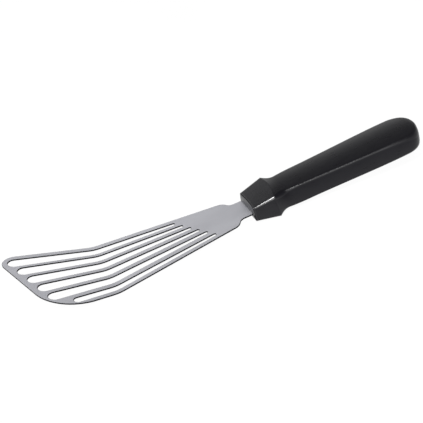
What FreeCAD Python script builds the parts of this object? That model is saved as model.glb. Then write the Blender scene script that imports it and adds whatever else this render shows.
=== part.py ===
import FreeCAD, Part
import math
import os
import Sketcher

# Slotted turner: one bent stainless sheet moulded into a one-piece plastic handle.
# Design axes: X runs from the handle's front rim toward the blade's tip, Y across the blade
# (minus is the long-corner side), Z up from the middle of the sheet. Both pieces share one
# Placement, which lays the finished tool on its blade bend and the bottom of its collar.

DIMENSIONS = [
    # blade sheet
    ("sheet_gauge", 1.0, "thickness of the stamped sheet"),
    ("trim_margin", 20.0, "how far the trimming frames stand clear of the piece"),
    ("neck_width", 20.6, "width of the neck that enters the handle"),
    ("neck_reach", 10.0, "front rim to the hollow corner of the shoulder"),
    ("neck_hollow", 5.0, "radius of that hollow corner"),
    ("shoulder_reach", 13.4, "front rim to the corner of the shoulder"),
    ("shoulder_width", 32.4, "blade width at the shoulder corner"),
    ("shoulder_round", 7.0, "radius of the shoulder corner"),
    ("flare_angle", 9.0, "each long edge to the centre line"),
    ("edge_reach", 159.8, "front rim to the front edge, on the centre line"),
    ("edge_skew", 15.8, "front edge off square"),
    ("long_corner", 9.0, "radius of the corner that reaches furthest"),
    ("short_corner", 30.0, "radius of the other front corner"),
    ("bend_reach", 103.0, "front rim to the start of the cross bend"),
    ("bend_radius", 30.0, "bend radius at mid sheet"),
    ("bend_angle", 14.4, "upward bend of the tip"),
    ("tip_run", 66.0, "straight sheet past the bend, before trimming"),
    # slots: each tapers from a narrow rear end to a wide front end
    ("slot_rear_reach", 50.6, "rear end centre of the first slot, from the rim"),
    ("slot_rear_side", -16.9, "the same centre, from the centre line"),
    ("slot_rear_setback", 3.8, "each next rear end is this much nearer the handle"),
    ("slot_rear_pitch", 6.24, "and this much further across"),
    ("slot_rear_radius", 1.3, "radius of the rear ends"),
    ("slot_front_reach", 159.6, "front end centre of the first slot"),
    ("slot_front_side", -30.6, "the same centre, from the centre line"),
    ("slot_front_setback", 3.6, "each next front end is this much nearer the handle"),
    ("slot_front_pitch", 12.35, "and this much further across"),
    ("slot_front_radius", 4.6, "radius of the front ends"),
    ("last_slot_reach", 133.0, "front end centre of the short last slot"),
    ("last_slot_side", 28.7, "the same centre, from the centre line"),
    ("last_slot_radius", 2.9, "radius of its front end"),
    # tang, hidden in the handle
    ("tang_length", 60.0, "front rim to the end of the tang"),
    ("tang_width", 14.0, "width of the tang"),
    ("tang_step", 14.0, "front rim to where the neck narrows to the tang"),
    ("tang_taper", 3.0, "length of that narrowing"),
    ("tang_round", 4.0, "radius of the tang's end corners"),
    ("key_hole", 6.0, "diameter of the holes that the moulding fills"),
    ("key_first", 28.0, "front rim to the first hole"),
    ("key_pitch", 18.0, "first hole to second hole"),
    # handle sections: reach behind the rim, width, top and floor from mid sheet, corner radius
    ("nose_reach", 1.5, "how far the front face bulges past the rim"),
    ("nose_width", 21.4, "width of the flat middle of the front face"),
    ("nose_top", 2.2, "its top"),
    ("nose_floor", -2.2, "its floor"),
    ("nose_corner", 1.0, "its corner radius"),
    ("rim_width", 24.5, "width of the front rim"),
    ("rim_top", 6.2, "top of the front rim"),
    ("rim_floor", -5.6, "floor of the front rim"),
    ("rim_corner", 0.9, "corner radius of the front rim"),
    ("crest_reach", 17.2, "rim to the crest of the collar"),
    ("crest_width", 29.8, "width at the crest"),
    ("crest_top", 10.4, "top of the crest"),
    ("crest_floor", -8.5, "floor of the crest"),
    ("crest_corner", 2.0, "corner radius at the crest"),
    ("scoop_reach", 20.8, "rim to the hollow behind the crest"),
    ("scoop_width", 25.8, "width in the hollow"),
    ("scoop_top", 9.55, "top in the hollow"),
    ("scoop_floor", -7.7, "floor in the hollow"),
    ("scoop_corner", 3.1, "corner radius in the hollow"),
    ("waist_reach", 25.5, "rim to the waist"),
    ("waist_width", 23.3, "width at the waist"),
    ("waist_top", 9.05, "top at the waist"),
    ("waist_floor", -6.9, "floor at the waist"),
    ("waist_corner", 2.2, "corner radius at the waist"),
    ("palm_reach", 72.0, "rim to the middle of the grip"),
    ("palm_width", 27.6, "width at the middle of the grip"),
    ("palm_top", 10.5, "top at the middle of the grip"),
    ("palm_floor", -5.3, "floor at the middle of the grip"),
    ("palm_corner", 1.4, "corner radius at the middle of the grip"),
    ("heel_reach", 118.0, "rim to where the butt starts to round off"),
    ("heel_width", 31.9, "width there, the widest of the grip"),
    ("heel_top", 12.2, "top there"),
    ("heel_floor", -4.15, "floor there"),
    ("heel_corner", 2.2, "corner radius there"),
    ("butt_depth", 14.3, "length over which the butt rounds off"),
    ("butt_squareness", 2.2, "how square its plan outline is; 2 is an ellipse"),
    ("butt_flatness", 7.0, "the same in side view"),
    ("top_crown", 75.0, "cross radius of the handle's top"),
    ("floor_crown", 150.0, "cross radius of the handle's floor"),
]
SLOT_COUNT = 6
SECTION_NAMES = ["nose", "rim", "crest", "scoop", "waist", "palm", "heel"]
BUTT_STEPS = [0.4, 0.7, 0.88, 0.97]

doc = FreeCAD.newDocument("SlottedTurner")
sheet = doc.addObject("Spreadsheet::Sheet", "Dims")
for row, (alias, value, note) in enumerate(DIMENSIONS, start=1):
    sheet.set(f"A{row}", note)
    sheet.set(f"B{row}", str(value))
    sheet.setAlias(f"B{row}", alias)
doc.recompute()


def value_of(expression):
    """Number that an expression over the sheet's cells gives."""
    result = sheet.evalExpression(expression)
    return float(getattr(result, "Value", result))


def dim(alias):
    return f"Dims.{alias}"


def origin_plane(body, role):
    """One of the body's own three origin planes."""
    return next(item for item in body.Origin.OriginFeatures if item.Role == role)


def new_sketch(body, name, role, offset=None):
    """Sketch on an origin plane; offset is an expression along the plane's normal."""
    sketch = body.newObject("Sketcher::SketchObject", name)
    sketch.AttachmentSupport = (origin_plane(body, role), "")
    sketch.MapMode = "FlatFace"
    if offset:
        sketch.setExpression("AttachmentOffset.Base.z", offset)
    return sketch


def bind(sketch, constraint, expression):
    """Add a dimension to a sketch and drive it from the sheet."""
    index = sketch.addConstraint(constraint)
    sketch.setExpression(f"Constraints[{index}]", expression)


def pin_point(sketch, geometry, end, place):
    """Fix a point at (x, y), each an expression; "0" puts it on that axis."""
    for kind, axis, expression in (("DistanceX", -2, place[0]), ("DistanceY", -1, place[1])):
        if expression == "0":
            sketch.addConstraint(Sketcher.Constraint("PointOnObject", geometry, end, axis))
        else:
            value = value_of(expression)
            bind(sketch, Sketcher.Constraint(kind, -1, 1, geometry, end, value), expression)


def vector(place):
    return FreeCAD.Vector(value_of(place[0]), value_of(place[1]), 0)


def draw_outline(sketch, corners):
    """Closed outline of straight lines; each corner is (x, y) or (x, y, rounding radius)."""
    points = [vector(corner) for corner in corners]
    count = len(points)
    radii = [corner[2] if len(corner) > 2 else None for corner in corners]
    starts, ends, arcs = [], [], []
    for index, point in enumerate(points):
        back = (points[index - 1] - point).normalize()
        ahead = (points[(index + 1) % count] - point).normalize()
        if radii[index] is None:
            ends.append(point)
            starts.append(point)
            arcs.append(None)
            continue
        radius = value_of(radii[index])
        half_angle = back.getAngle(ahead) / 2
        cut_back = radius / math.tan(half_angle)
        centre = point + (back + ahead).normalize() * (radius / math.sin(half_angle))
        entry, leave = point + back * cut_back, point + ahead * cut_back
        counter_clockwise = back.cross(ahead).z < 0
        first, second = (entry, leave) if counter_clockwise else (leave, entry)
        angles = [math.atan2(spot.y - centre.y, spot.x - centre.x) for spot in (first, second)]
        if angles[1] < angles[0]:
            angles[1] += 2 * math.pi
        arc = sketch.addGeometry(arc_between(centre, radius, *angles), False)
        bind(sketch, Sketcher.Constraint("Radius", arc, radius), radii[index])
        arcs.append((arc, 1, 2) if counter_clockwise else (arc, 2, 1))
        ends.append(entry)
        starts.append(leave)
    lines = [sketch.addGeometry(Part.LineSegment(starts[index], ends[(index + 1) % count]), False)
             for index in range(count)]
    for index, (point, arc) in enumerate(zip(points, arcs)):
        before, after = lines[index - 1], lines[index]
        if arc is None:
            sketch.addConstraint(Sketcher.Constraint("Coincident", before, 2, after, 1))
            pin_point(sketch, after, 1, corners[index])
            continue
        arc_index, arc_entry, arc_leave = arc
        mark = sketch.addGeometry(Part.Point(point), True)
        pin_point(sketch, mark, 1, corners[index])
        for line in (before, after):
            sketch.addConstraint(Sketcher.Constraint("PointOnObject", mark, 1, line))
        sketch.addConstraint(Sketcher.Constraint("Tangent", before, 2, arc_index, arc_entry))
        sketch.addConstraint(Sketcher.Constraint("Tangent", arc_index, arc_leave, after, 1))


def draw_frame(sketch, rear, front, side):
    """Rectangle about the centre line, outside an outline that is to be kept."""
    draw_outline(sketch, [(rear, f"-({side})"), (front, f"-({side})"), (front, side), (rear, side)])


def draw_circle(sketch, place, diameter):
    circle = Part.Circle(vector(place), FreeCAD.Vector(0, 0, 1), value_of(diameter) / 2)
    index = sketch.addGeometry(circle, False)
    pin_point(sketch, index, 3, place)
    bind(sketch, Sketcher.Constraint("Diameter", index, value_of(diameter)), diameter)


def arc_between(centre, radius, start_angle, end_angle):
    circle = Part.Circle(centre, FreeCAD.Vector(0, 0, 1), radius)
    return Part.ArcOfCircle(circle, start_angle, end_angle)


def draw_tapered_slot(sketch, rear, rear_radius, front, front_radius):
    """Two arcs joined by the two lines that touch both."""
    rear_at, front_at = vector(rear), vector(front)
    small, large = value_of(rear_radius), value_of(front_radius)
    run = front_at - rear_at
    heading = math.atan2(run.y, run.x)
    lean = math.acos((small - large) / run.Length)

    def touch(centre, radius, side):
        angle = heading + side * lean
        return centre + FreeCAD.Vector(math.cos(angle), math.sin(angle), 0) * radius

    front_arc = sketch.addGeometry(
        arc_between(front_at, large, heading - lean, heading + lean), False)
    rear_arc = sketch.addGeometry(
        arc_between(rear_at, small, heading + lean, heading - lean + 2 * math.pi), False)
    left = sketch.addGeometry(
        Part.LineSegment(touch(front_at, large, 1), touch(rear_at, small, 1)), False)
    right = sketch.addGeometry(
        Part.LineSegment(touch(rear_at, small, -1), touch(front_at, large, -1)), False)
    for first, first_end, second, second_end in (
            (front_arc, 2, left, 1), (left, 2, rear_arc, 1),
            (rear_arc, 2, right, 1), (right, 2, front_arc, 1)):
        sketch.addConstraint(
            Sketcher.Constraint("Tangent", first, first_end, second, second_end))
    for arc, place, radius in ((rear_arc, rear, rear_radius), (front_arc, front, front_radius)):
        pin_point(sketch, arc, 3, place)
        bind(sketch, Sketcher.Constraint("Radius", arc, value_of(radius)), radius)


def draw_handle_section(sketch, width, top, floor, corner):
    """Flat-sided section with a crowned top and floor and four rounded corners."""
    half = value_of(width) / 2
    rounding = value_of(corner)
    quarter = math.pi / 2
    crowns, corner_heights, spreads = [], [], []
    for side, level, crown in ((1, top, dim("top_crown")), (-1, floor, dim("floor_crown"))):
        radius = value_of(crown)
        centre_y = value_of(level) - side * radius
        spread = math.asin((half - rounding) / (radius - rounding))
        middle = side * quarter
        crowns.append(sketch.addGeometry(arc_between(
            FreeCAD.Vector(0, centre_y, 0), radius, middle - spread, middle + spread), False))
        corner_heights.append(centre_y + side * (radius - rounding) * math.cos(spread))
        spreads.append(spread)
    top_arc, floor_arc = crowns
    upper, lower = corner_heights
    inset = half - rounding
    corners = [sketch.addGeometry(arc_between(FreeCAD.Vector(x, y, 0), rounding, *angles), False)
               for x, y, angles in (
                   (inset, upper, (0, quarter - spreads[0])),
                   (-inset, upper, (quarter + spreads[0], 2 * quarter)),
                   (-inset, lower, (2 * quarter, 3 * quarter - spreads[1])),
                   (inset, lower, (3 * quarter + spreads[1], 4 * quarter)))]
    upper_right, upper_left, lower_left, lower_right = corners
    left, right = [sketch.addGeometry(Part.LineSegment(
        FreeCAD.Vector(x, start, 0), FreeCAD.Vector(x, finish, 0)), False)
        for x, start, finish in ((-half, upper, lower), (half, lower, upper))]
    ring = [upper_right, top_arc, upper_left, left, lower_left, floor_arc, lower_right, right]
    for first, second in zip(ring, ring[1:] + ring[:1]):
        sketch.addConstraint(Sketcher.Constraint("Tangent", first, 2, second, 1))
    for arc in corners:
        bind(sketch, Sketcher.Constraint("Radius", arc, rounding), corner)
    for arc, level, crown, sign in ((top_arc, top, dim("top_crown"), "-"),
                                    (floor_arc, floor, dim("floor_crown"), "+")):
        bind(sketch, Sketcher.Constraint("Radius", arc, value_of(crown)), crown)
        pin_point(sketch, arc, 3, ("0", f"{level} {sign} {crown}"))
    for line, sign in ((left, "-"), (right, "")):
        reach = f"{sign}({width}) / 2"
        bind(sketch, Sketcher.Constraint("DistanceX", -1, 1, line, 1, value_of(reach)), reach)


def add_cut(body, name, sketch, extra=None):
    """Pocket that runs through the sheet both ways from the XY plane."""
    cut = body.newObject("PartDesign::Pocket", name)
    cut.Profile = sketch
    cut.Midplane = True
    if extra:
        cut.Type = "Length"
        cut.setExpression("Length", extra)
    else:
        cut.Type = "ThroughAll"
    return cut


def mirrored(corners):
    """The same corners across the centre line, in reverse order."""
    return [(corner[0], f"-({corner[1]})", *corner[2:]) for corner in reversed(corners)]


# ---------------------------------------------------------------- outlines shared by both pieces
TANG_SIDE = [
    (f"-{dim('tang_length')}", f"-{dim('tang_width')} / 2", dim("tang_round")),
    (f"-{dim('tang_step')} - {dim('tang_taper')}", f"-{dim('tang_width')} / 2"),
    (f"-{dim('tang_step')}", f"-{dim('neck_width')} / 2"),
]
SHOULDER_SIDE = [
    (dim("neck_reach"), f"-{dim('neck_width')} / 2", dim("neck_hollow")),
    (dim("shoulder_reach"), f"-{dim('shoulder_width')} / 2", dim("shoulder_round")),
]
KEY_HOLES = [(f"-{dim('key_first')}", "0"),
             (f"-{dim('key_first')} - {dim('key_pitch')}", "0")]


def front_corner(side):
    """Where a long edge meets the skewed front edge; side is +1 or -1."""
    flare = f"tan({dim('flare_angle')})"
    skew = f"tan({dim('edge_skew')})"
    edge_side = f"({dim('shoulder_width')} / 2 - {dim('shoulder_reach')} * {flare})"
    reach = (f"({dim('edge_reach')} - ({side}) * {skew} * {edge_side})"
             f" / (1 + ({side}) * {skew} * {flare})")
    return (reach, f"({side}) * ({edge_side} + {reach} * {flare})")


LONG_CORNER = (*front_corner(-1), dim("long_corner"))
SHORT_CORNER = (*front_corner(1), dim("short_corner"))


# ---------------------------------------------------------------- blade
def build_blade():
    body = doc.addObject("PartDesign::Body", "slotted_blade")
    body.Label = "slotted_blade"

    # side view of the bent sheet, padded to more than the blade's width
    profile = new_sketch(body, "BladeProfile", "XZ_Plane")
    half = f"{dim('sheet_gauge')} / 2"

    def bend_end(offset):
        swing = f"({dim('bend_radius')} {offset} {half})"
        return (f"{dim('bend_reach')} + {swing} * sin({dim('bend_angle')})",
                f"{dim('bend_radius')} - {swing} * cos({dim('bend_angle')})")

    def tip(offset):
        end_x, end_z = bend_end(offset)
        return (f"{end_x} + {dim('tip_run')} * cos({dim('bend_angle')})",
                f"{end_z} + {dim('tip_run')} * sin({dim('bend_angle')})")

    def straight(first, second):
        return profile.addGeometry(Part.LineSegment(vector(first), vector(second)), False)

    def curved(first, second, offset):
        radius = value_of(f"{dim('bend_radius')} {offset} {half}")
        centre = FreeCAD.Vector(value_of(dim("bend_reach")), value_of(dim("bend_radius")), 0)
        angle = math.radians(value_of(dim("bend_angle")))
        arc = profile.addGeometry(
            arc_between(centre, radius, -math.pi / 2, -math.pi / 2 + angle), False)
        bind(profile, Sketcher.Constraint("Radius", arc, radius),
             f"{dim('bend_radius')} {offset} {half}")
        return arc

    rear_low = (f"-{dim('tang_length')}", f"-{half}")
    rear_high = (f"-{dim('tang_length')}", half)
    bend_low = (dim("bend_reach"), f"-{half}")
    bend_high = (dim("bend_reach"), half)
    flat_under = straight(rear_low, bend_low)
    tip_under = straight(bend_end("+"), tip("+"))
    front = straight(tip("+"), tip("-"))
    tip_over = straight(tip("-"), bend_end("-"))
    flat_over = straight(bend_high, rear_high)
    rear = straight(rear_high, rear_low)
    bend_under = curved(bend_low, bend_end("+"), "+")
    bend_over = curved(bend_high, bend_end("-"), "-")
    for first, first_end, second, second_end in (
            (flat_under, 2, bend_under, 1), (bend_under, 2, tip_under, 1), (tip_under, 2, front, 1),
            (front, 2, tip_over, 1), (tip_over, 2, bend_over, 2), (bend_over, 1, flat_over, 1),
            (flat_over, 2, rear, 1), (rear, 2, flat_under, 1)):
        profile.addConstraint(
            Sketcher.Constraint("Coincident", first, first_end, second, second_end))
    for line, end, place in (
            (flat_under, 1, rear_low), (flat_under, 2, bend_low), (tip_under, 1, bend_end("+")),
            (tip_under, 2, tip("+")), (tip_over, 1, tip("-")), (tip_over, 2, bend_end("-")),
            (flat_over, 1, bend_high), (flat_over, 2, rear_high)):
        pin_point(profile, line, end, place)

    strip = body.newObject("PartDesign::Pad", "BentSheet")
    strip.Profile = profile
    strip.Midplane = True
    strip.setExpression("Length", f"4 * {dim('shoulder_width')}")

    # stamped outline: everything outside it is cut away
    outline = new_sketch(body, "BladeOutline", "XY_Plane")
    far_side = TANG_SIDE + SHOULDER_SIDE
    draw_outline(outline, far_side + [LONG_CORNER, SHORT_CORNER] + mirrored(far_side))
    draw_frame(outline, f"-{dim('tang_length')} - {dim('trim_margin')}",
               f"{dim('edge_reach')} + {dim('shoulder_width')}", f"3 * {dim('shoulder_width')}")
    add_cut(body, "BladeTrim", outline)

    # slots, fanned out from the handle side
    slots = new_sketch(body, "SlotOutlines", "XY_Plane")
    for index in range(SLOT_COUNT):
        rear = (f"{dim('slot_rear_reach')} - {index} * {dim('slot_rear_setback')}",
                f"{dim('slot_rear_side')} + {index} * {dim('slot_rear_pitch')}")
        front = (f"{dim('slot_front_reach')} - {index} * {dim('slot_front_setback')}",
                 f"{dim('slot_front_side')} + {index} * {dim('slot_front_pitch')}")
        front_radius = dim("slot_front_radius")
        if index == SLOT_COUNT - 1:
            front = (dim("last_slot_reach"), dim("last_slot_side"))
            front_radius = dim("last_slot_radius")
        draw_tapered_slot(slots, rear, dim("slot_rear_radius"), front, front_radius)
    add_cut(body, "Slots", slots)

    keys = new_sketch(body, "KeyHoles", "XY_Plane")
    for place in KEY_HOLES:
        draw_circle(keys, place, dim("key_hole"))
    add_cut(body, "KeyHoleCut", keys)
    return body


# ---------------------------------------------------------------- handle
def rounded_off(step, power):
    """Share of the full size left at a step from 0 (full) to 1 (the end) of a rounded end."""
    return f"((1 - {step} ^ {power}) ^ (1 / {power}))"


def build_handle():
    body = doc.addObject("PartDesign::Body", "moulded_handle")
    body.Label = "moulded_handle"
    sections = {}
    for name in SECTION_NAMES:
        sign = "" if name == "nose" else "-"
        offset = None if name == "rim" else f"{sign}{dim(name + '_reach')}"
        sections[name] = new_sketch(body, f"{name.capitalize()}Section", "YZ_Plane", offset)
        draw_handle_section(sections[name], *[
            dim(f"{name}_{size}") for size in ("width", "top", "floor", "corner")])
    middle = f"({dim('heel_top')} + {dim('heel_floor')}) / 2"
    half_height = f"({dim('heel_top')} - {dim('heel_floor')}) / 2"
    butt_names = []
    for number, step in enumerate(BUTT_STEPS, start=1):
        name = f"butt_{number}"
        offset = f"-{dim('heel_reach')} - {step} * {dim('butt_depth')}"
        width = f"{dim('heel_width')} * {rounded_off(step, dim('butt_squareness'))}"
        height = f"{half_height} * {rounded_off(step, dim('butt_flatness'))}"
        sections[name] = new_sketch(body, f"ButtSection{number}", "YZ_Plane", offset)
        draw_handle_section(sections[name], width, f"{middle} + {height}", f"{middle} - {height}",
                            dim("heel_corner"))
        butt_names.append(name)

    def loft(name, chain, ruled):
        feature = body.newObject("PartDesign::AdditiveLoft", name)
        feature.Profile = sections[chain[0]]
        feature.Sections = [sections[item] for item in chain[1:]]
        feature.Ruled = ruled

    loft("Collar", ["rim", "crest"], True)
    loft("FrontFace", ["rim", "nose"], True)
    loft("Scoop", ["crest", "scoop", "waist"], False)
    loft("Grip", ["waist", "palm", "heel"], False)
    loft("Butt", ["heel"] + butt_names, False)

    # room for the tang, with the two keys left standing
    cavity = new_sketch(body, "TangRoom", "XY_Plane")
    mouth = (f"{dim('nose_reach')} + {dim('trim_margin')}", f"-{dim('neck_width')} / 2")
    far_side = TANG_SIDE + [mouth]
    draw_outline(cavity, far_side + mirrored(far_side))
    for place in KEY_HOLES:
        draw_circle(cavity, place, dim("key_hole"))
    add_cut(body, "TangCavity", cavity, dim("sheet_gauge"))
    return body


def rest_placement(bodies):
    """Lay the tool on its bend and collar, with the origin under the middle of its box."""
    crest = FreeCAD.Vector(-value_of(dim("crest_reach")), 0, value_of(dim("crest_floor")))
    centre = FreeCAD.Vector(value_of(dim("bend_reach")), 0, value_of(dim("bend_radius")))
    reach = centre - crest
    radius = value_of(f"{dim('bend_radius')} + {dim('sheet_gauge')} / 2")
    slope = math.atan2(reach.z, reach.x) - math.asin(radius / reach.Length)
    turn = FreeCAD.Rotation(FreeCAD.Vector(0, 1, 0), math.degrees(slope))
    joined = Part.makeCompound([body.Shape.copy() for body in bodies])
    joined.Placement = FreeCAD.Placement(FreeCAD.Vector(), turn)
    box = joined.optimalBoundingBox(False)
    shift = FreeCAD.Vector(-box.Center.x, -box.Center.y, -box.ZMin)
    return FreeCAD.Placement(shift, turn), slope


pieces = [build_blade(), build_handle()]
doc.recompute()
placement, rest_slope = rest_placement(pieces)
for piece in pieces:
    piece.Placement = placement
doc.recompute()

for item in doc.Objects:
    if {"Invalid", "Error"} & set(item.State):
        raise RuntimeError(f"{item.Label} failed: {item.State}")
for piece in pieces:
    if piece.Shape.isNull() or not piece.Shape.isValid() or len(piece.Shape.Solids) != 1:
        raise RuntimeError(f"{piece.Label} has no sound single solid")

os.makedirs("parts", exist_ok=True)
for piece in pieces:
    piece.Shape.exportStep(f"parts/{piece.Label}.step")
    box = piece.Shape.optimalBoundingBox(False)
    low = [round(edge, 2) for edge in (box.XMin, box.YMin, box.ZMin)]
    high = [round(edge, 2) for edge in (box.XMax, box.YMax, box.ZMax)]
    print(piece.Label, "volume", round(piece.Shape.Volume, 1), "box", low, high)
print("rest slope", round(math.degrees(rest_slope), 3), "degrees; shift", placement.Base)
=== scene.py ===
import math

import bpy
import numpy as np
from mathutils import Matrix, Vector
from mathutils.geometry import delaunay_2d_cdt


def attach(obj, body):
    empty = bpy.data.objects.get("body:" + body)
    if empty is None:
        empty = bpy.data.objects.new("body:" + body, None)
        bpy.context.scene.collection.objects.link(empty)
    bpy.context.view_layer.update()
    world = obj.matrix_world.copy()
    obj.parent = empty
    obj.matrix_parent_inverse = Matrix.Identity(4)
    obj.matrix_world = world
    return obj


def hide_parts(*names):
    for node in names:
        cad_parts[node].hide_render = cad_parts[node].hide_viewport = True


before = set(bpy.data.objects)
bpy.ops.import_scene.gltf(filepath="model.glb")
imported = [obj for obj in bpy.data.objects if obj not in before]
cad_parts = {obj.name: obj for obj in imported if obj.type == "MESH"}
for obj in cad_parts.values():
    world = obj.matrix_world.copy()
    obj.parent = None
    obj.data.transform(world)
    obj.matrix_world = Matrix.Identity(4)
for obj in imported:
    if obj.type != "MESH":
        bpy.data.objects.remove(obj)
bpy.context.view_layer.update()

MM = 0.001

# The design frame of both pieces: X from the handle's front rim to the blade's tip, Z up from mid
# sheet, in millimetres. The rest placement turns it about Y and shifts it, as the CAD source does.
REST_SLOPE = 3.7763
REST_SHIFT = Vector((-18.4679, 2.6222, 7.3487))
TO_ROW = (Matrix.Scale(MM, 4) @ Matrix.Translation(REST_SHIFT)
          @ Matrix.Rotation(math.radians(REST_SLOPE), 4, "Y"))


# ---------------------------------------------------------------- blade: plan outline and slots
GAUGE = 1.0
EDGE_ROUND = 0.24         # broken edge of the stamped sheet
NECK_HALF = 10.3
TANG_HALF = 7.0
TANG_END = -60.0
SHOULDER = (13.4, 16.2)   # reach from the rim, half width
FLARE = math.tan(math.radians(9.0))
SKEW = math.tan(math.radians(15.8))
EDGE_REACH = 159.8
BEND_START = 103.0
BEND_RADIUS = 30.0
BEND = math.radians(14.4)
KEY_HOLES = ((-28.0, 3.0), (-46.0, 3.0))   # reach, radius
SLOT_COUNT = 6
ARC_STEP = 0.55           # longest chord on a rounding
LINE_STEP = 1.5           # longest piece of a straight edge


def front_corner(side):
    """Where a long edge meets the skewed front edge."""
    edge_side = SHOULDER[1] - SHOULDER[0] * FLARE
    reach = (EDGE_REACH - side * SKEW * edge_side) / (1 + side * SKEW * FLARE)
    return reach, side * (edge_side + reach * FLARE)


def blade_corners():
    """Corners of the stamped outline, counter-clockwise, as (x, y, rounding)."""
    near = [
        (TANG_END, -TANG_HALF, 4.0),
        (-17.0, -TANG_HALF, 0.6),
        (-14.0, -NECK_HALF, 0.6),
        (10.0, -NECK_HALF, 5.0),
        (SHOULDER[0], -SHOULDER[1], 7.0),
    ]
    far = [(x, -y, rounding) for x, y, rounding in reversed(near)]
    return near + [(*front_corner(-1), 9.0), (*front_corner(1), 30.0)] + far


def slot_ends(index):
    """Rear and front end circles of a slot, as (x, y, radius)."""
    rear = (50.6 - 3.8 * index, -16.9 + 6.24 * index, 1.3)
    if index == SLOT_COUNT - 1:
        return rear, (133.0, 28.7, 2.9)
    return rear, (159.6 - 3.6 * index, -30.6 + 12.35 * index, 4.6)


def along_line(start, end):
    """Points from start up to but not including end."""
    count = max(1, math.ceil((end - start).length / LINE_STEP))
    return [start.lerp(end, step / count) for step in range(count)]


def along_arc(centre, radius, first, last):
    """Points on an arc from angle first to last, both ends included."""
    count = max(6, math.ceil(abs(last - first) * radius / ARC_STEP))
    angles = [first + (last - first) * step / count for step in range(count + 1)]
    return [centre + radius * Vector((math.cos(a), math.sin(a))) for a in angles]


def rounded_loop(corners):
    """Closed outline through rounded corners, evenly divided."""
    spots = [Vector(corner[:2]) for corner in corners]
    arcs = []
    for index, spot in enumerate(spots):
        back = (spots[index - 1] - spot).normalized()
        ahead = (spots[(index + 1) % len(spots)] - spot).normalized()
        radius = corners[index][2]
        half = back.angle(ahead) / 2
        centre = spot + (back + ahead).normalized() * (radius / math.sin(half))
        entry = spot + back * (radius / math.tan(half)) - centre
        leave = spot + ahead * (radius / math.tan(half)) - centre
        first = math.atan2(entry.y, entry.x)
        turn = math.remainder(math.atan2(leave.y, leave.x) - first, 2 * math.pi)
        arcs.append(along_arc(centre, radius, first, first + turn))
    loop = []
    for index, arc in enumerate(arcs):
        loop += arc
        loop += along_line(arc[-1], arcs[(index + 1) % len(arcs)][0])[1:]
    return loop


def slot_loop(rear, front):
    """Outline of a tapered slot, clockwise, so that the sheet lies on its left."""
    rear_at, front_at = Vector(rear[:2]), Vector(front[:2])
    run = front_at - rear_at
    heading = math.atan2(run.y, run.x)
    lean = math.acos((rear[2] - front[2]) / run.length)
    nose = along_arc(front_at, front[2], heading + lean, heading - lean)
    tail = along_arc(rear_at, rear[2], heading - lean, heading + lean - 2 * math.pi)
    return nose + along_line(nose[-1], tail[0])[1:] + tail + along_line(tail[-1], nose[0])[1:]


def hole_loop(reach, radius):
    """Round hole on the centre line, clockwise."""
    return along_arc(Vector((reach, 0)), radius, 2 * math.pi, 0)[:-1]


def outward(loop):
    """Unit normals that point away from the sheet."""
    points = np.array(loop)
    ahead = np.roll(points, -1, 0) - points
    ahead /= np.linalg.norm(ahead, axis=1)[:, None]
    tangent = ahead + np.roll(ahead, 1, 0)
    tangent /= np.linalg.norm(tangent, axis=1)[:, None]
    return points, np.stack((tangent[:, 1], -tangent[:, 0]), 1)


def inside(points, loops):
    """Which points lie in the sheet: an odd number of loop edges above each."""
    odd = np.zeros(len(points), bool)
    for loop in loops:
        start, end = loop, np.roll(loop, -1, 0)
        run = np.where(end[:, 0] == start[:, 0], 1e-12, end[:, 0] - start[:, 0])
        spans = (start[None, :, 0] > points[:, None, 0]) != (end[None, :, 0] > points[:, None, 0])
        slope = (end[:, 1] - start[:, 1]) / run
        crossing = start[:, 1] + (points[:, None, 0] - start[:, 0]) * slope
        odd ^= ((spans & (crossing > points[:, None, 1])).sum(1) % 2).astype(bool)
    return odd


def sheet_at(x):
    """Height and slope angle of mid sheet at a reach."""
    past = x - BEND_START
    if past <= 0:
        return 0.0, 0.0
    if past < BEND_RADIUS * math.sin(BEND):
        return BEND_RADIUS - math.sqrt(BEND_RADIUS ** 2 - past ** 2), math.asin(past / BEND_RADIUS)
    rise = BEND_RADIUS * (1 - math.cos(BEND))
    return rise + (past - BEND_RADIUS * math.sin(BEND)) * math.tan(BEND), BEND


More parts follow.
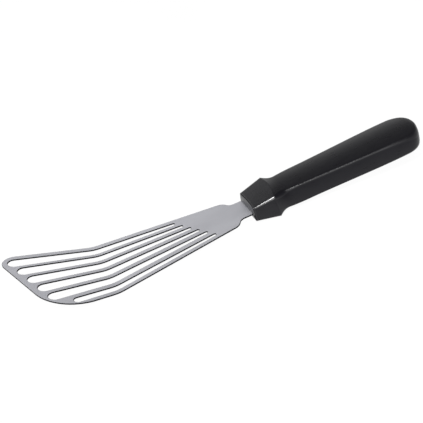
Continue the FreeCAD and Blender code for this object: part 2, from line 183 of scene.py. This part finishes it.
def build_blade():
    """Bent sheet with softly broken edges: two flat faces and the stamped wall between them."""
    loops = [outward(rounded_loop(blade_corners()))]
    loops += [outward(slot_loop(*slot_ends(index))) for index in range(SLOT_COUNT)]
    loops += [outward(hole_loop(*hole)) for hole in KEY_HOLES]
    face_loops = [points - EDGE_ROUND * normal for points, normal in loops]

    # points inside the sheet, on a staggered grid that keeps clear of the edges
    pitch, clear = 2.4, 0.9
    border = np.concatenate(face_loops)
    grid = [(x, y + (row % 2) * pitch / 2)
            for row, x in enumerate(np.arange(TANG_END, EDGE_REACH + 20, pitch * 0.75))
            for y in np.arange(-40, 40, pitch)]
    grid = np.array(grid)
    grid = grid[inside(grid, face_loops)]
    near = np.array([np.min(np.sum((border - spot) ** 2, 1)) for spot in grid])
    grid = grid[near > clear ** 2]

    flat = [Vector(spot) for spot in np.concatenate([border, grid])]
    edges, first = [], 0
    for loop in face_loops:
        count = len(loop)
        edges += [(first + step, first + (step + 1) % count) for step in range(count)]
        first += count
    spots, _, faces, origins, _, _ = delaunay_2d_cdt(flat, edges, [], 0, 1e-7)
    place = {old: new for new, olds in enumerate(origins) for old in olds}
    middles = np.array([[sum(spots[v].x for v in f) / 3, sum(spots[v].y for v in f) / 3]
                        for f in faces])
    faces = [f for f, kept in zip(faces, inside(middles, face_loops)) if kept]

    vertices, normals, polygons, kinds = [], [], [], []

    def add_vertex(x, y, height, out, up):
        level, slope = sheet_at(x)
        vertices.append(Vector((x, y, level + height / math.cos(slope))))
        lift = Vector((-math.sin(slope), 0, math.cos(slope)))
        normals.append((Vector((out[0], out[1], 0)) + up * lift).normalized())
        return len(vertices) - 1

    sides = {}
    for side in (1, -1):
        sides[side] = [add_vertex(s.x, s.y, side * GAUGE / 2, (0, 0), side) for s in spots]
        for face in faces:
            corners = [sides[side][v] for v in face]
            polygons.append(corners if side > 0 else corners[::-1])
            kinds.append(0)

    # rings round each edge, from the upper face over the wall to the lower face
    quarter = [math.radians(a) for a in (22.5, 45.0, 67.5, 90.0)]
    profile = [(EDGE_ROUND * (1 - math.sin(a)), GAUGE / 2 - EDGE_ROUND * (1 - math.cos(a)),
                math.sin(a), math.cos(a)) for a in quarter]
    profile.append((0.0, 0.0, 1.0, 0.0))
    profile += [(inset, -height, out, -up) for inset, height, out, up in profile[-2::-1]]
    first = 0
    for points, normal in loops:
        count = len(points)
        rings = [[sides[1][place[first + step]] for step in range(count)]]
        for inset, height, out, up in profile:
            shifted = points - inset * normal
            rings.append([add_vertex(*shifted[step], height, out * normal[step], up)
                          for step in range(count)])
        rings.append([sides[-1][place[first + step]] for step in range(count)])
        for upper, lower in zip(rings, rings[1:]):
            for step in range(count):
                following = (step + 1) % count
                polygons.append([upper[step], lower[step], lower[following], upper[following]])
                kinds.append(1)
        first += count
    return finish_piece("blade", vertices, polygons, normals, kinds)


def finish_piece(name, vertices, polygons, normals, kinds):
    """Mesh object in the row frame, smooth shaded."""
    mesh = bpy.data.meshes.new(name)
    mesh.from_pydata([TO_ROW @ v for v in vertices], [], polygons)
    mesh.polygons.foreach_set("use_smooth", [True] * len(polygons))
    mesh.polygons.foreach_set("material_index", kinds)
    mesh.validate()
    if normals:
        turn = TO_ROW.to_3x3().normalized()
        mesh.normals_split_custom_set_from_vertices([turn @ n for n in normals])
    mesh.update()
    piece = bpy.data.objects.new(name, mesh)
    bpy.context.scene.collection.objects.link(piece)
    return piece


# ---------------------------------------------------------------- handle: a skin of closed rings
CROWN_STEPS, CORNER_STEPS, SIDE_STEPS = 22, 8, 10
TOP_CROWN, FLOOR_CROWN = 75.0, 150.0


def section(half, top, floor, corner, crowns=(TOP_CROWN, FLOOR_CROWN)):
    """Crowned top and floor, flat sides and round corners, as a ring of (y, z)."""
    ring = []
    levels, spreads = [], []
    for side, level, crown in ((1, top, crowns[0]), (-1, floor, crowns[1])):
        spread = math.asin((half - corner) / (crown - corner))
        spreads.append(spread)
        levels.append(level - side * crown + side * (crown - corner) * math.cos(spread))

    def arc(y, z, radius, first, last, steps):
        for step in range(steps):
            angle = first + (last - first) * step / steps
            ring.append((y + radius * math.cos(angle), z + radius * math.sin(angle)))

    def line(y, first, last):
        for step in range(SIDE_STEPS):
            ring.append((y, first + (last - first) * step / SIDE_STEPS))

    quarter = math.pi / 2
    inset = half - corner
    arc(0, top - crowns[0], crowns[0], quarter - spreads[0], quarter + spreads[0], CROWN_STEPS)
    arc(-inset, levels[0], corner, quarter + spreads[0], 2 * quarter, CORNER_STEPS)
    line(-half, levels[0], levels[1])
    arc(-inset, levels[1], corner, 2 * quarter, 3 * quarter - spreads[1], CORNER_STEPS)
    arc(0, floor + crowns[1], crowns[1], 3 * quarter - spreads[1], 3 * quarter + spreads[1],
        CROWN_STEPS)
    arc(inset, levels[1], corner, 3 * quarter + spreads[1], 4 * quarter, CORNER_STEPS)
    line(half, levels[1], levels[0])
    arc(inset, levels[0], corner, 0, quarter - spreads[0], CORNER_STEPS)
    return np.array(ring)


def blend_table(table, x):
    """Smooth values between the rows of a table that starts each row with its reach."""
    rows = np.array(table)
    reach, values = rows[:, 0], rows[:, 1:]
    slopes = np.gradient(values, reach, axis=0)
    index = int(np.clip(np.searchsorted(reach, x) - 1, 0, len(reach) - 2))
    span = reach[index + 1] - reach[index]
    part = float(np.clip((x - reach[index]) / span, 0, 1))
    cube, square = part ** 3, part ** 2
    return ((2 * cube - 3 * square + 1) * values[index] + (cube - 2 * square + part) * span
            * slopes[index] + (3 * square - 2 * cube) * values[index + 1]
            + (cube - square) * span * slopes[index + 1])


WAIST, HEEL = 25.5, 118.0   # reach of the hollow's end and of the butt's start, behind the rim
# reach behind the rim, half width, top, floor, corner radius
GRIP = (
    (12.0, 11.41, 8.97, -7.05, 4.4),
    (20.0, 11.42, 8.88, -7.09, 4.0),
    (25.5, 11.63, 9.05, -6.87, 2.2),
    (32.0, 11.89, 9.24, -6.62, 1.25),
    (48.0, 12.6, 9.71, -6.04, 1.25),
    (64.0, 13.39, 10.2, -5.54, 1.25),
    (80.0, 14.18, 10.77, -5.11, 1.25),
    (96.0, 14.97, 11.4, -4.72, 1.5),
    (110.0, 15.61, 11.92, -4.37, 2.2),
    (118.0, 15.92, 12.17, -4.14, 3.0),
)
BUTT_DEPTH = 13.8
BUTT_RINGS, BUTT_TIP, BUTT_CORNER = 25, 0.9995, 3.2   # rings, last share, growth of the corners
BUTT_PLAN, BUTT_SIDE = 2.32, 7.0   # how square the end is from above and from the side
COLLAR_CROWNS = (400.0, 300.0)
RIM = (12.24, 5.83, -5.58, 1.2)    # half width, top, floor, corner radius
CREST = (14.88, 9.95, -8.5, 2.3)
RIM_BOW = 0.5                      # how far the rim's middle runs behind its corners
CREST_REACH, CREST_BOW = 17.2, 1.8
CREST_LEAD = 1.5                   # how far the crest's one top corner lies ahead of the rest
COLUMNS = 2 * CROWN_STEPS + 4 * CORNER_STEPS + 2 * SIDE_STEPS
# specular level at a reach, which paints light and shade: of the top and floor, of the sides'
# upper and lower parts (the upper part dimmer, and near zero in the hollow: painted shade), of the
# top corners (high: a painted highlight along the ridges, zero in the hollow)
GLOSS_AND_PAINTED_LIGHT = (
    (0.7, 0.22, 0.22, 0.25, 0.4),
    (3.0, 0.22, 0.22, 0.25, 1.1),
    (8.0, 0.22, 0.22, 0.25, 1.6),
    (13.0, 0.22, 0.22, 0.25, 1.3),
    (15.8, 0.22, 0.2, 0.25, 2.3),
    (17.6, 0.2, 0.12, 0.25, 0.0),
    (24.5, 0.165, 0.03, 0.22, 0.0),
    (29.0, 0.165, 0.1, 0.2, 0.8),
    (100.0, 0.165, 0.11, 0.2, 0.75),
    (118.0, 0.165, 0.1, 0.2, 0.2),
)
# specular levels: a painted highlight on the front face's upper half and along the rim's edge,
# painted shade in the grooves, and the grip's own gloss
FACE_PAINTED_SHEEN, GROOVE_PAINTED_SHADE, RIM_PAINTED_SHEEN, GRIP_GLOSS = 1.0, 0.03, 0.45, 0.18
HOLLOW = 1.51                      # how fast the collar drops behind the crest
FACE_BULGE, FACE_POWER = 1.1, 1.6     # how far the front face bulges, and how late it falls away
FACE_LIP = 0.35                    # rounding of the mouth's edge
FACE_GROOVE, GROOVE_AT = 0.08, 0.88   # depth of the groove inside the rim, and its place
MOUTH = (10.36, 0.56, -0.56, 0.3)  # the slot that the neck enters
SLOT_CROWNS = (400.0, 400.0)
# reach, half width of the slot that holds the tang, from its bottom to its mouth
TANG_SLOT = ((60.2, 3.2), (59.6, 5.0), (58.0, 6.3), (56.0, 7.06), (17.0, 7.06),
             (14.0, MOUTH[0]), (1.0, MOUTH[0]), (-0.6, MOUTH[0]))
# where the rings lie, as shares of the way over the front face, the collar and the hollow
FACE_SHARES = (0.0, 0.04, 0.1, 0.2, 0.35, 0.5, 0.65, 0.76, 0.82, 0.85, 0.88, 0.91, 0.94, 0.97,
               0.99)
COLLAR_SHARES = (0.0, 0.008, 0.016, 0.035, 0.055, 0.1, 0.2, 0.3, 0.4, 0.5, 0.6, 0.7, 0.8, 0.88,
                 0.94, 0.975)
HOLLOW_SHARES = (0.0, 0.03, 0.08, 0.15, 0.23, 0.32, 0.42, 0.52, 0.62, 0.72, 0.82, 0.91, 1.0)


def grip_section(reach):
    """Section of the grip at a reach."""
    return section(*blend_table(GRIP, reach))


def flare(reach):
    """Section of the collar at a reach: it widens evenly from the rim to the crest."""
    share = reach / CREST_REACH
    return section(*[rim + (crest - rim) * share for rim, crest in zip(RIM, CREST)],
                   COLLAR_CROWNS)


def top_bow(depth):
    """Extra reach in each column of an edge that bows back across the collar's top."""
    bow = np.zeros(COLUMNS)
    bow[:CROWN_STEPS] = depth * (1 - np.linspace(-1, 1, CROWN_STEPS) ** 2)
    return bow


def crest_reaches():
    """Reach of the crest in each column."""
    lead = np.zeros(COLUMNS)
    lead[:CROWN_STEPS] = np.linspace(1, 0, CROWN_STEPS)
    lead[-CORNER_STEPS - SIDE_STEPS:-CORNER_STEPS] = np.linspace(0, 1, SIDE_STEPS)
    lead[-CORNER_STEPS:] = 1
    return CREST_REACH + top_bow(CREST_BOW) - CREST_LEAD * lead


def build_handle():
    """One closed skin: from the bottom of the tang slot, over the front face, to the butt."""
    rings, strengths = [], []

    def add(reaches, outline, level=None):
        """Next ring from each column's reach behind the rim and its (y, z)."""
        reaches = np.broadcast_to(reaches, (COLUMNS,))
        rings.append(np.column_stack((-reaches, outline)))
        strengths.append(gloss_and_painted_light(reaches.mean()) if level is None else np.full(COLUMNS, level))

    def slot_section(half):
        return section(half, *MOUTH[1:], SLOT_CROWNS)

    # the slot that holds the tang
    # inside of the tang slot: painted shade through a near-zero specular level
    for reach, half in TANG_SLOT:
        add(reach, slot_section(half), GROOVE_PAINTED_SHADE)
    # its rounded lip and the bulging front face
    mouth = slot_section(MOUTH[0])
    rim = section(*RIM, COLLAR_CROWNS)
    back = top_bow(RIM_BOW)
    for share in FACE_SHARES:
        outline = mouth + (rim - mouth) * share
        bulge = FACE_BULGE * (1 - share ** FACE_POWER)
        lip = FACE_LIP * math.exp(-share / 0.03)
        groove = FACE_GROOVE * math.exp(-((share - GROOVE_AT) / 0.04) ** 2)
        # the front face's upper half gets a painted highlight and its lower half the grip's own
        # gloss; from the groove to the rim the face gets painted shade
        upper_half = outline[:, 1] > 0
        level = GROOVE_PAINTED_SHADE
        if share < GROOVE_AT:
            level = np.where(upper_half, FACE_PAINTED_SHEEN, GRIP_GLOSS)
        add(back * share ** 2 + lip + groove - bulge, outline, level)

    # collar: straight flare from a crisp rim to the crest
    crest = crest_reaches()
    for share in COLLAR_SHARES:
        reaches = back + (crest - back) * share
        outline = np.array([flare(reach)[column] for column, reach in enumerate(reaches)])
        # the rim's first ring gets painted shade as a dark line, the next rings a painted
        # highlight as a bright line along the rim
        level = GROOVE_PAINTED_SHADE if share < 0.01 else RIM_PAINTED_SHEEN if share < 0.04 else None
        add(reaches, outline, level)
    crest_outline = np.array([flare(reach)[column] for column, reach in enumerate(crest)])

    # hollow behind the crest, down to the waist
    for share in HOLLOW_SHARES:
        reaches = crest + (WAIST - crest) * share
        hollow = np.array([grip_section(reach)[column] for column, reach in enumerate(reaches)])
        add(reaches, crest_outline + (hollow - crest_outline) * (1 - (1 - share) ** HOLLOW))

    # grip
    for reach in np.arange(WAIST + 1.2, HEEL - 0.5, 1.5):
        add(reach, grip_section(reach))
    # butt, closed by ever smaller rings
    half, top, floor, corner = blend_table(GRIP, HEEL)
    middle, rise = (top + floor) / 2, (top - floor) / 2
    for turn in np.linspace(0, math.pi / 2, BUTT_RINGS + 1)[:-1]:
        share = min(math.sin(turn), BUTT_TIP)
        wide = (1 - share ** BUTT_PLAN) ** (1 / BUTT_PLAN)
        high = (1 - share ** BUTT_SIDE) ** (1 / BUTT_SIDE)
        rounding = min(corner + BUTT_CORNER * share, 0.9 * rise * high, 0.9 * half * wide)
        outline = section(half * wide, middle + rise * high, middle - rise * high, rounding)
        add(HEEL + BUTT_DEPTH * share, outline)

    vertices, polygons = [], []
    count = len(rings[0])
    for ring in rings:
        vertices += [Vector(spot) for spot in ring]
    for number in range(len(rings) - 1):
        near, far = number * count, (number + 1) * count
        for column in range(count):
            following = (column + 1) % count
            polygons.append([near + column, far + column, far + following, near + following])
    for start, reverse in ((0, True), ((len(rings) - 1) * count, False)):
        middle_spot = sum((vertices[start + c] for c in range(count)), Vector()) / count
        vertices.append(middle_spot)
        for column in range(count):
            fan = [start + column, len(vertices) - 1, start + (column + 1) % count]
            polygons.append(fan[::-1] if reverse else fan)
    piece = finish_piece("handle", vertices, polygons, None, [0] * len(polygons))
    # specular level per point: the plastic's own gloss plus painted highlights and painted shade
    levels = np.concatenate(strengths + [(GROOVE_PAINTED_SHADE, GLOSS_AND_PAINTED_LIGHT[-1][1])])
    piece.data.attributes.new("gloss_and_painted_light", "FLOAT", "POINT").data.foreach_set("value", levels)
    return piece


def gloss_and_painted_light(reach):
    """Specular level of each column at a reach: a painted highlight on the top corners, painted
    shade on the sides' upper parts and in the hollow.
    """
    rows = np.array(GLOSS_AND_PAINTED_LIGHT)
    flat, high, low, ridge = (np.interp(reach, rows[:, 0], column) for column in rows.T[1:])
    level = np.full(COLUMNS, flat)
    down = np.linspace(high, low, SIDE_STEPS)
    level[CROWN_STEPS + CORNER_STEPS:][:SIDE_STEPS] = down
    level[-CORNER_STEPS - SIDE_STEPS:-CORNER_STEPS] = down[::-1]
    bulge = np.sin(np.linspace(0, math.pi, CORNER_STEPS + 1))[:-1]
    for columns in (slice(CROWN_STEPS, CROWN_STEPS + CORNER_STEPS), slice(-CORNER_STEPS, None)):
        level[columns] += (ridge - level[columns]) * bulge
    return level


# ---------------------------------------------------------------- materials
class Shader:
    """Principled material with a few short ways to add nodes."""

    def __init__(self, name, **values):
        self.material = bpy.data.materials.new(name)
        self.material.use_nodes = True
        self.tree = self.material.node_tree
        self.surface = self.tree.nodes["Principled BSDF"]
        for socket, value in values.items():
            self.surface.inputs[socket.replace("_", " ")].default_value = value

    def node(self, kind, inputs=None, **settings):
        made = self.tree.nodes.new(kind)
        for name, value in settings.items():
            setattr(made, name, value)
        for name, value in (inputs or {}).items():
            if isinstance(value, bpy.types.NodeSocket):
                self.tree.links.new(value, made.inputs[name])
            else:
                made.inputs[name].default_value = value
        return made

    def link(self, output, socket):
        self.tree.links.new(output, self.surface.inputs[socket])

    def place(self, scale):
        """Object coordinates stretched by a scale along each axis."""
        coordinates = self.node("ShaderNodeTexCoord").outputs["Object"]
        mapping = self.node("ShaderNodeMapping", {"Vector": coordinates, "Scale": scale})
        return mapping.outputs["Vector"]

    def noise(self, scale, detail=3.0, roughness=0.55, size=1.0):
        return self.node("ShaderNodeTexNoise", {
            "Vector": self.place(scale), "Scale": size, "Detail": detail,
            "Roughness": roughness}).outputs["Fac"]

    def span(self, value, low, high, start=0.0, end=1.0):
        """Map a 0 to 1 value to a range."""
        return self.node("ShaderNodeMapRange", {
            "Value": value, "From Min": start, "From Max": end, "To Min": low,
            "To Max": high}).outputs["Result"]

    def tones(self, value, low, high):
        ramp = self.node("ShaderNodeValToRGB", {"Fac": value})
        ramp.color_ramp.elements[0].color = (*low, 1)
        ramp.color_ramp.elements[0].position = 0.3
        ramp.color_ramp.elements[1].color = (*high, 1)
        ramp.color_ramp.elements[1].position = 0.7
        return ramp.outputs["Color"]

    def bump(self, height, strength, distance, below=None):
        inputs = {"Height": height, "Strength": strength, "Distance": distance}
        if below is not None:
            inputs["Normal"] = below
        return self.node("ShaderNodeBump", inputs).outputs["Normal"]


def steel_face():
    """Satin rolled sheet: long fine grain along the blade and soft cloudy variation."""
    shader = Shader("satin_steel", Metallic=1.0)
    grain = shader.noise((90.0, 2600.0, 2600.0), 4.0)
    cloud = shader.noise((30.0, 60.0, 60.0), 2.0)
    shader.link(shader.tones(cloud, (0.615, 0.618, 0.66), (0.68, 0.683, 0.725)), "Base Color")
    shader.link(shader.span(grain, 0.4, 0.56), "Roughness")
    shader.link(shader.bump(grain, 0.12, 0.00002), "Normal")
    return shader.material


def steel_edge():
    """Sheared wall of the stamping: rougher, scored across the sheet, and given a near-black base
    colour that is painted shade on top of the wall's own darker tone.
    """
    shader = Shader("sheared_steel_painted_shade", Metallic=1.0)
    scores = shader.noise((1800.0, 1800.0, 300.0), 3.0)
    # near-black base colour: painted shade on the walls
    shader.link(shader.tones(scores, (0.006, 0.006, 0.007), (0.015, 0.015, 0.017)), "Base Color")
    shader.link(shader.span(scores, 0.42, 0.6), "Roughness")
    shader.link(shader.bump(scores, 0.25, 0.00004), "Normal")
    return shader.material


def handle_plastic():
    """Black moulded plastic: fine mould texture, uneven gloss, and a specular level from the mesh
    that paints highlights on the ridges and front face and paints shade in the hollow and grooves.
    """
    shader = Shader("moulded_plastic")
    texture = shader.noise((3200.0, 3200.0, 3200.0), 2.0)
    waves = shader.noise((60.0, 120.0, 120.0), 2.0)
    rub = shader.noise((120.0, 260.0, 260.0), 4.0)
    # the mesh's level drives the specular strength: painted highlights on ridges and front face,
    # painted shade in hollow and grooves
    shine = shader.node("ShaderNodeAttribute", attribute_name="gloss_and_painted_light").outputs["Fac"]
    shader.link(shader.tones(rub, (0.0088, 0.0086, 0.0108), (0.0112, 0.011, 0.0135)), "Base Color")
    shader.link(shader.span(rub, 0.24, 0.34), "Roughness")
    shader.link(shine, "Specular IOR Level")
    coarse = shader.bump(waves, 0.15, 0.0002)
    shader.link(shader.bump(texture, 0.1, 0.00004, coarse), "Normal")
    return shader.material


def floor_paint():
    """Pale table top, lit through from below."""
    shader = Shader("studio_floor", Roughness=0.9, Specular_IOR_Level=0.1, Emission_Strength=0.96)
    mottle = shader.noise((6.0, 6.0, 6.0), 2.0)
    shader.link(shader.tones(mottle, (0.07, 0.07, 0.07), (0.08, 0.08, 0.08)), "Base Color")
    shader.link(shader.tones(mottle, (0.98, 0.98, 0.98), (1.0, 1.0, 1.0)), "Emission Color")
    return shader.material


# ---------------------------------------------------------------- build
blade = build_blade()
for material in (steel_face(), steel_edge()):
    blade.data.materials.append(material)
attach(blade, "root")
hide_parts("slotted_blade")

handle = build_handle()
handle.data.materials.append(handle_plastic())
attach(handle, "root")
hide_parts("moulded_handle")


# ---------------------------------------------------------------- studio
SURROUND = 1.0
HEIGHT_TONES = ((0.0, 1.2), (0.2, 1.7), (0.3, 1.65), (0.42, 0.95), (0.5, 0.62), (0.58, 0.5),
                (0.72, 0.3), (1.0, 0.15))
SIDE_TONES = ((0.0, 0.5), (0.3, 0.7), (0.4, 0.85), (0.52, 1.4), (0.6, 1.85), (0.68, 1.1),
              (1.0, 0.6))


def direction(azimuth, elevation):
    """Unit vector toward a place round the object; azimuth 0 is on the -Y side."""
    a, e = math.radians(azimuth), math.radians(elevation)
    return Vector((math.sin(a) * math.cos(e), -math.cos(a) * math.cos(e), math.sin(e)))


def add_floor():
    size = 6.0
    mesh = bpy.data.meshes.new("floor")
    corners = [(-size, -size, 0), (size, -size, 0), (size, size, 0), (-size, size, 0)]
    mesh.from_pydata(corners, [], [(0, 1, 2, 3)])
    floor = bpy.data.objects.new("floor", mesh)
    floor.data.materials.append(floor_paint())
    bpy.context.scene.collection.objects.link(floor)


def add_softbox(name, azimuth, elevation, distance, size, power):
    data = bpy.data.lights.new(name, "AREA")
    data.shape = "RECTANGLE"
    data.size, data.size_y = size
    data.energy = power
    lamp = bpy.data.objects.new(name, data)
    back = direction(azimuth, elevation)
    lamp.location = back * distance
    lamp.rotation_mode = "QUATERNION"
    lamp.rotation_quaternion = back.to_track_quat("Z", "Y")
    bpy.context.scene.collection.objects.link(lamp)


def add_surround():
    """Studio walls: bright low down, darker overhead and toward the handle's end."""
    world = bpy.data.worlds.new("studio")
    bpy.context.scene.world = world
    world.use_nodes = True
    nodes, links = world.node_tree.nodes, world.node_tree.links
    background = nodes["Background"]
    split = nodes.new("ShaderNodeSeparateXYZ")
    links.new(nodes.new("ShaderNodeTexCoord").outputs["Generated"], split.inputs[0])

    def ramp(value, stops):
        made = nodes.new("ShaderNodeValToRGB")
        links.new(value, made.inputs["Fac"])
        elements = made.color_ramp.elements
        while len(elements) < len(stops):
            elements.new(0.5)
        for element, (position, tone) in zip(elements, stops):
            element.position = position
            element.color = (tone, tone, tone, 1)
        return made.outputs["Color"]

    along = nodes.new("ShaderNodeMapRange")
    along.inputs["From Min"].default_value = -1.0
    links.new(split.outputs["X"], along.inputs["Value"])
    by_height = ramp(split.outputs["Z"], HEIGHT_TONES)
    by_side = ramp(along.outputs["Result"], SIDE_TONES)
    product = nodes.new("ShaderNodeVectorMath")
    product.operation = "MULTIPLY"
    links.new(by_height, product.inputs[0])
    links.new(by_side, product.inputs[1])
    links.new(product.outputs["Vector"], background.inputs["Color"])
    background.inputs["Strength"].default_value = SURROUND


def add_camera():
    data = bpy.data.cameras.new("view")
    data.sensor_width = 36.0
    data.lens = 105.6
    camera = bpy.data.objects.new("view", data)
    aim = Vector((5.86, -4.36, 10.0)) * MM
    back = direction(164.705, 32.4)
    level = back.to_track_quat("Z", "Y").to_matrix()
    turn = level @ Matrix.Rotation(math.radians(-12.05), 3, "Z")
    camera.location = aim + back * 848.6 * MM
    camera.rotation_mode = "QUATERNION"
    camera.rotation_quaternion = turn.to_quaternion()
    bpy.context.scene.collection.objects.link(camera)
    bpy.context.scene.camera = camera


add_floor()
add_softbox("key", 154.7, 53.7, 1.1, (0.14, 0.14), 5.5)
add_softbox("fill", 188.0, 54.0, 1.1, (0.14, 0.14), 1.4)
add_surround()
add_camera()
bpy.context.scene.view_settings.view_transform = "Standard"
